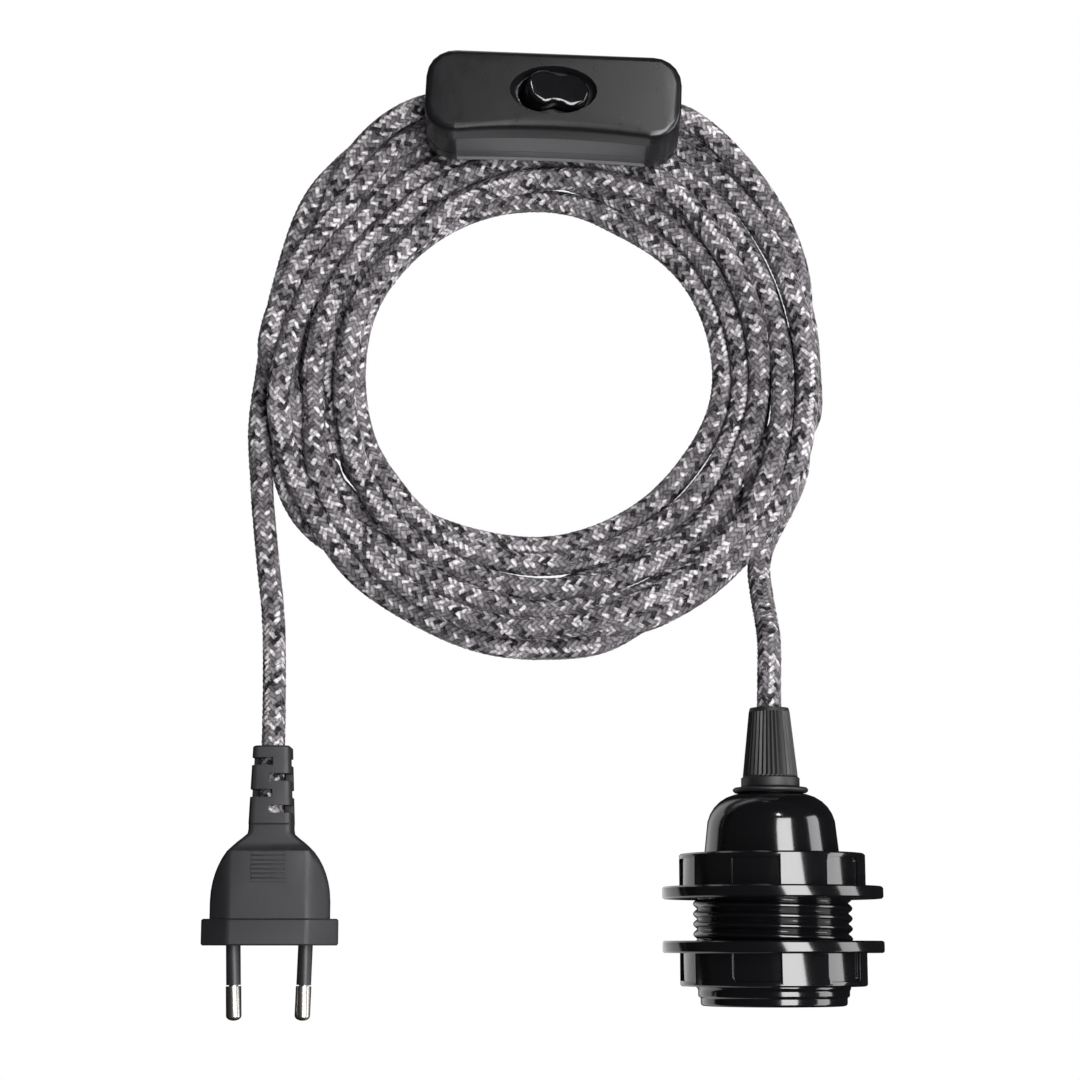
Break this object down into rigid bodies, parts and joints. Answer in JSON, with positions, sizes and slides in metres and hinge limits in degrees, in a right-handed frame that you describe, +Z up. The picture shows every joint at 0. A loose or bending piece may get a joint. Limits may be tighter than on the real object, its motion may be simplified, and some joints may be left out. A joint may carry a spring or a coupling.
{
  "type": "pendant lampholder cord set",
  "caption": "Plug-in pendant cord set: threaded lampholder with shade rings, cord grip, coiled braided cord, in-line rocker switch and flat plug.",
  "frame": {"origin": "on the surface the set lies on, below the middle of the lampholder's length", "axes": "+Y along the lampholder from its mouth to its cord grip, +Z up from the surface, +X away from the plug"},
  "size_m": [0.1728, 0.2543, 0.055],
  "materials": {
    "gloss_black": "gloss",
    "satin_black": "satin",
    "satin_grey": "satin",
    "plug_plastic": "satin",
    "ceramic_white": "satin",
    "brass": "satin",
    "zinc_steel": "satin",
    "nickel": "polished",
    "core_insulation": "satin",
    "braid": "woven"
  },
  "bodies": {
    "cord_set": {"threaded_sleeve": "gloss_black", "dome_cap": "gloss_black", "contact_block": "ceramic_white", "centre_contact": "brass", "side_contact": "brass", "holder_terminal_screw_1": "zinc_steel", "holder_terminal_screw_2": "zinc_steel", "holder_wire_live": "core_insulation", "holder_wire_neutral": "core_insulation", "cord_grip_washer": "satin_black", "cord_grip_collet": "satin_black", "cord_grip_nut": "satin_black", "grip_lock_nut": "zinc_steel", "cord_holder_lead": "braid", "cord_coil": "braid", "cord_switch_left_lead": "braid", "cord_switch_right_lead": "braid", "cord_plug_lead": "braid", "switch_top_housing": "satin_black", "switch_bottom_housing": "satin_grey", "contact_pivot": "brass", "switched_contact": "brass", "live_terminal_screw_1": "zinc_steel", "live_terminal_screw_2": "zinc_steel", "neutral_terminal": "brass", "neutral_terminal_screw_1": "zinc_steel", "neutral_terminal_screw_2": "zinc_steel", "switch_wire_live_left": "core_insulation", "switch_wire_live_right": "core_insulation", "switch_wire_neutral_left": "core_insulation", "switch_wire_neutral_right": "core_insulation", "cord_clamp_left": "satin_grey", "cord_clamp_right": "satin_grey", "clamp_screw_left_1": "zinc_steel", "clamp_screw_left_2": "zinc_steel", "clamp_screw_right_1": "zinc_steel", "clamp_screw_right_2": "zinc_steel", "housing_screw_1": "zinc_steel", "housing_screw_2": "zinc_steel", "plug_body": "plug_plastic", "plug_pin_left": "nickel", "plug_pin_right": "nickel", "pin_sleeve_left": "satin_grey", "pin_sleeve_right": "satin_grey"},
    "upper_ring": {"shade_ring_upper": "gloss_black"},
    "lower_ring": {"shade_ring_lower": "gloss_black"},
    "rocker": {"switch_rocker": "gloss_black", "rocker_plunger": "satin_grey", "rocker_spring": "zinc_steel"},
    "bridge": {"contact_bridge": "brass"}
  },
  "joints": [
    {"name": "upper_ring_thread", "type": "slide", "parent": "cord_set", "child": "upper_ring", "axis": [0, 1, 0], "range_m": [-0.0099, 0]},
    {"name": "lower_ring_thread", "type": "slide", "parent": "cord_set", "child": "lower_ring", "axis": [0, 1, 0], "range_m": [-0.013, 0]},
    {"name": "rocker_tilt", "type": "hinge", "parent": "cord_set", "child": "rocker", "pos_m": [-0.05443, 0.20035, 0.0247], "axis": [-0.0406, -0.9894, 0.1392], "range_deg": [0, 26]},
    {"name": "bridge_tilt", "type": "hinge", "parent": "cord_set", "child": "bridge", "pos_m": [-0.05447, 0.19932, 0.01737], "axis": [0.0406, 0.9894, -0.1392], "range_deg": [0, 13.2]}
  ],
  "couplings": [
    {"joint": "bridge_tilt", "follows": "rocker_tilt", "ratio": 0.5076}
  ]
}
